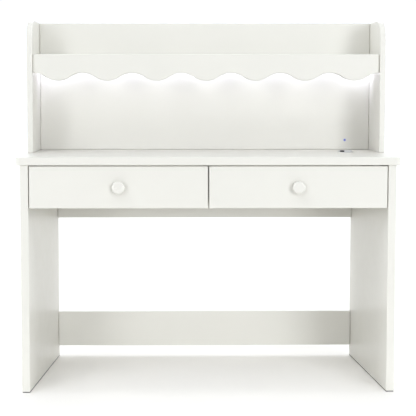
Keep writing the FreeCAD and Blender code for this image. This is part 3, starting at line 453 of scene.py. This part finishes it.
def pan_head_screw(length):
    """One screw that stands on its tip at the origin."""
    bpy.ops.object.select_all(action="DESELECT")
    bpy.ops.mesh.primitive_circle_add(vertices=SCREW_SIDES, radius=SHANK_TIP, fill_type="NGON")
    screw = bpy.context.object
    screw.name = "screw_pattern"
    pick_faces(screw, lambda face: True)
    draw_out(POINT_LENGTH, SHANK_ROOT / SHANK_TIP)
    ridges = int((length - POINT_LENGTH - NECK_LENGTH) / RIDGE_PITCH)
    rise, crest, fall = RIDGE_PITCH * 0.35, RIDGE_PITCH * 0.25, RIDGE_PITCH * 0.4
    for _ in range(ridges):
        draw_out(rise, SHANK / SHANK_ROOT)
        draw_out(crest)
        draw_out(fall, SHANK_ROOT / SHANK)
    draw_out(length - POINT_LENGTH - ridges * RIDGE_PITCH)
    draw_out(0.0, HEAD / SHANK_ROOT)
    for share, narrowing in HEAD_STEPS:
        draw_out(HEAD_HEIGHT * share, narrowing)
    bpy.ops.mesh.select_all(action="SELECT")
    bpy.ops.mesh.normals_make_consistent(inside=False)
    bpy.ops.object.mode_set(mode="OBJECT")
    cut_away(screw, cross_bit(length + HEAD_HEIGHT))
    bpy.ops.object.shade_smooth_by_angle(angle=SMOOTH_ANGLE)
    return screw


def loose_solids(node):
    """The corner points of each separate solid of a CAD node. Corners within a micrometre are one."""
    points = [vertex.co for vertex in nodes[node].data.vertices]
    at_place = {}
    parent = list(range(len(points)))

    def root(index):
        while parent[index] != index:
            parent[index] = parent[parent[index]]
            index = parent[index]
        return index

    for index, point in enumerate(points):
        first = at_place.setdefault(tuple(round(value, 6) for value in point), index)
        parent[root(index)] = root(first)
    for face in nodes[node].data.polygons:
        first, *others = face.vertices
        for index in others:
            parent[root(index)] = root(first)
    solids = {}
    for index, point in enumerate(points):
        solids.setdefault(root(index), []).append(point)
    return list(solids.values())


def screw_place(points):
    """A screw's tip, its direction from tip to head, and its whole length."""
    low = Vector(min(point[axis] for point in points) for axis in range(3))
    high = Vector(max(point[axis] for point in points) for axis in range(3))
    size = high - low
    along = max(range(3), key=lambda axis: size[axis])
    center = (low + high) / 2
    axis = Vector((0.0, 0.0, 0.0))
    axis[along] = 1.0
    rim_reach = HEAD * 0.9
    rim = [point[along] for point in points if (point - center).cross(axis).length > rim_reach]
    direction = axis if sum(rim) / len(rim) > center[along] else -axis
    return center - direction * size[along] / 2, direction, size[along]


def driven_screw(pattern, tip, direction, turn):
    """A copy of a modelled screw, set in its place and turned about its own axis."""
    only(pattern)
    bpy.ops.object.duplicate()
    copy = bpy.context.object
    copy.rotation_mode = "QUATERNION"
    driven = Quaternion((0.0, 0.0, 1.0), turn)
    copy.rotation_quaternion = direction.to_track_quat("Z", "Y") @ driven
    copy.location = tip
    bpy.ops.object.transform_apply(location=True, rotation=True)
    return copy


patterns = {}
for entry in subparts:
    node = entry["node"]
    if not node.endswith(("_screw", "_screws")):
        continue
    copies = []
    for number, points in enumerate(loose_solids(node)):
        tip, direction, whole = screw_place(points)
        length = round(whole - HEAD_HEIGHT, 5)
        if length not in patterns:
            patterns[length] = pan_head_screw(length)
        copies.append(driven_screw(patterns[length], tip, direction, SCREW_TURN * number))
    only(*copies)
    if len(copies) > 1:
        bpy.ops.object.join()
    turned = bpy.context.object
    turned.name = node + "_turned"
    turned.data.materials.append(finishes[entry["material_slot"]])
    body = body_of(nodes[node])[0]
    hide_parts(node)
    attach(turned, body)
for pattern in patterns.values():
    bpy.data.objects.remove(pattern)


# Stage: a white floor, the studio's light and the camera

FLOOR_SIZE = 40.0
FLOOR_PAINTED_SHADE_GREY = (0.665, 0.65, 0.626)
DAYLIGHT = (0.972, 1.0, 1.036)
GLOW_WHITE = (0.925, 0.95, 1.17)
SKY_STRENGTH = 2.0
# Where the low part ends, the middle starts and ends, and overhead starts, as sines of the elevation
SKY_HEIGHTS = (0.19, 0.29, 0.67, 0.743)
# Each far light's azimuth, elevation and width in degrees, and its power
FAR_LIGHTS = {
    "right_low_key": (24.0, 4.0, 17.0, 0.245),
    "right_high_key": (24.0, 18.0, 27.0, 0.215),
    "left_low_key": (-26.0, 4.0, 16.0, 0.14),
    "left_high_key": (-27.0, 18.0, 27.0, 0.13),
    "left_top": (-45.0, 42.0, 20.0, 0.12),
    "right_side": (90.0, 8.0, 14.0, 0.34),
    "left_side": (-90.0, 8.0, 14.0, 0.33),
    "back_light": (180.0, 30.0, 40.0, 0.32),
}
CAMERA_PLACE = (-0.0943, -3.5766, 0.9354)
# Degrees down from level, and to the right of straight ahead
CAMERA_DOWN, CAMERA_RIGHT = 4.19, 0.693


def stage_floor():
    """A floor with a painted pool of light: white round the desk and behind it, and painted greyer far
    in front and at the sides, in place of light falling off there.
    """
    bpy.ops.mesh.primitive_plane_add(size=FLOOR_SIZE, location=(0.0, 0.0, 0.0))
    floor = bpy.context.object
    floor.name = "floor"
    made = Material("studio_floor")
    cloud = made.noise(scale=1.5, detail=3.0)
    white = made.blend(made.spread(cloud), (0.97, 0.948, 0.912), (0.99, 0.968, 0.931))
    place = made.split(made.place)
    ahead = made.spread(place["Y"], start=-1.6, end=-0.5)
    behind = made.spread(place["Y"], start=0.2, end=0.9)
    beside = made.spread(made.math("ABSOLUTE", place["X"]), low=1.0, high=0.0, start=0.75, end=1.6)
    # Painted pool of light: 1 round the desk and behind it, falling to 0 far in front and at the sides
    painted_light_pool = made.math("MINIMUM", ahead, made.math("MAXIMUM", beside, behind))
    made.set(
        Base_Color=made.blend(painted_light_pool, FLOOR_PAINTED_SHADE_GREY, white),
        Roughness=0.9,
        Specular_IOR_Level=0.1,
    )
    floor.data.materials.append(made.material)


def far_light(name, azimuth, elevation, width, power):
    """A distant soft light, by the angles that it comes from and the angle that it fills."""
    lamp = bpy.data.lights.new(name, "SUN")
    lamp.angle = math.radians(width)
    lamp.energy = power * math.pi
    lamp.color = DAYLIGHT
    light = bpy.data.objects.new(name, lamp)
    turn, rise = math.radians(azimuth), math.radians(elevation)
    towards = Vector((math.cos(rise) * math.sin(turn), -math.cos(rise) * math.cos(turn), math.sin(rise)))
    light.rotation_euler = towards.to_track_quat("Z", "Y").to_euler()
    bpy.context.scene.collection.objects.link(light)


def shelf_glow():
    """What the light bar throws on the panel behind it, and into the two corners at its ends."""
    low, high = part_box("led_diffuser")
    half = (high.x - low.x) / 2
    end, width, gap_behind, gap_below = 0.1, 0.012, 0.006, 0.002
    throws = (
        ("shelf_glow", 0.0, half * 2, (0.0, 0.72, -0.69), 0.6),
        ("left_end_glow", end / 2 - half, end, (-0.7, 0.7, -0.12), 0.09),
        ("right_end_glow", half - end / 2, end, (0.6, 0.78, -0.1), 0.11),
    )
    for name, along, length, towards, power in throws:
        lamp = bpy.data.lights.new(name, "AREA")
        lamp.shape = "RECTANGLE"
        lamp.size = length
        lamp.size_y = width
        lamp.energy = power
        lamp.color = GLOW_WHITE
        light = bpy.data.objects.new(name, lamp)
        light.location = (along, high.y + gap_behind, low.z - gap_below)
        light.rotation_euler = Vector(towards).to_track_quat("-Z", "Y").to_euler()
        light.visible_camera = False
        bpy.context.scene.collection.objects.link(light)


def sky_ramp(made, height, levels):
    """Daylight that changes with height, from low down to overhead."""
    ramp = made.add("ShaderNodeValToRGB", {"Fac": height})
    elements = ramp.color_ramp.elements
    while len(elements) < len(SKY_HEIGHTS):
        elements.new(1.0)
    for element, position, level in zip(elements, SKY_HEIGHTS, levels):
        element.position = position
        element.color = (*scaled(DAYLIGHT, level / SKY_STRENGTH), 1.0)
    return ramp.outputs["Color"]


def studio_world():
    """Bright overhead and darker half way up. Low down it is white behind the desk and dim in front."""
    world = bpy.data.worlds.new("studio")
    bpy.context.scene.world = world
    made = NodeTree(world)
    way = made.split(made.add("ShaderNodeTexCoord").outputs["Generated"])
    front = sky_ramp(made, way["Z"], levels=(0.3, 0.0, 0.0, 1.36))
    back = sky_ramp(made, way["Z"], levels=(1.04, 0.3, 0.3, 1.36))
    behind = made.spread(way["Y"], start=-0.4, end=0.3)
    background = made.tree.nodes["Background"]
    made.feed(background.inputs["Color"], made.blend(behind, front, back))
    made.feed(background.inputs["Strength"], SKY_STRENGTH)


def photo_camera():
    """A camera at the photograph's viewing angle."""
    camera_data = bpy.data.cameras.new("camera")
    camera_data.lens = 93.05
    camera_data.sensor_width = 36.0
    camera_data.shift_x = 0.04
    camera_data.shift_y = -0.08
    camera_data.clip_end = 200.0
    camera = bpy.data.objects.new("camera", camera_data)
    camera.location = CAMERA_PLACE
    camera.rotation_euler = (math.radians(90.0 - CAMERA_DOWN), 0.0, -math.radians(CAMERA_RIGHT))
    bpy.context.scene.collection.objects.link(camera)
    bpy.context.scene.camera = camera


stage_floor()
studio_world()
for name, (azimuth, elevation, width, power) in FAR_LIGHTS.items():
    far_light(name, azimuth, elevation, width, power)
shelf_glow()
photo_camera()
bpy.context.scene.view_settings.view_transform = "Standard"
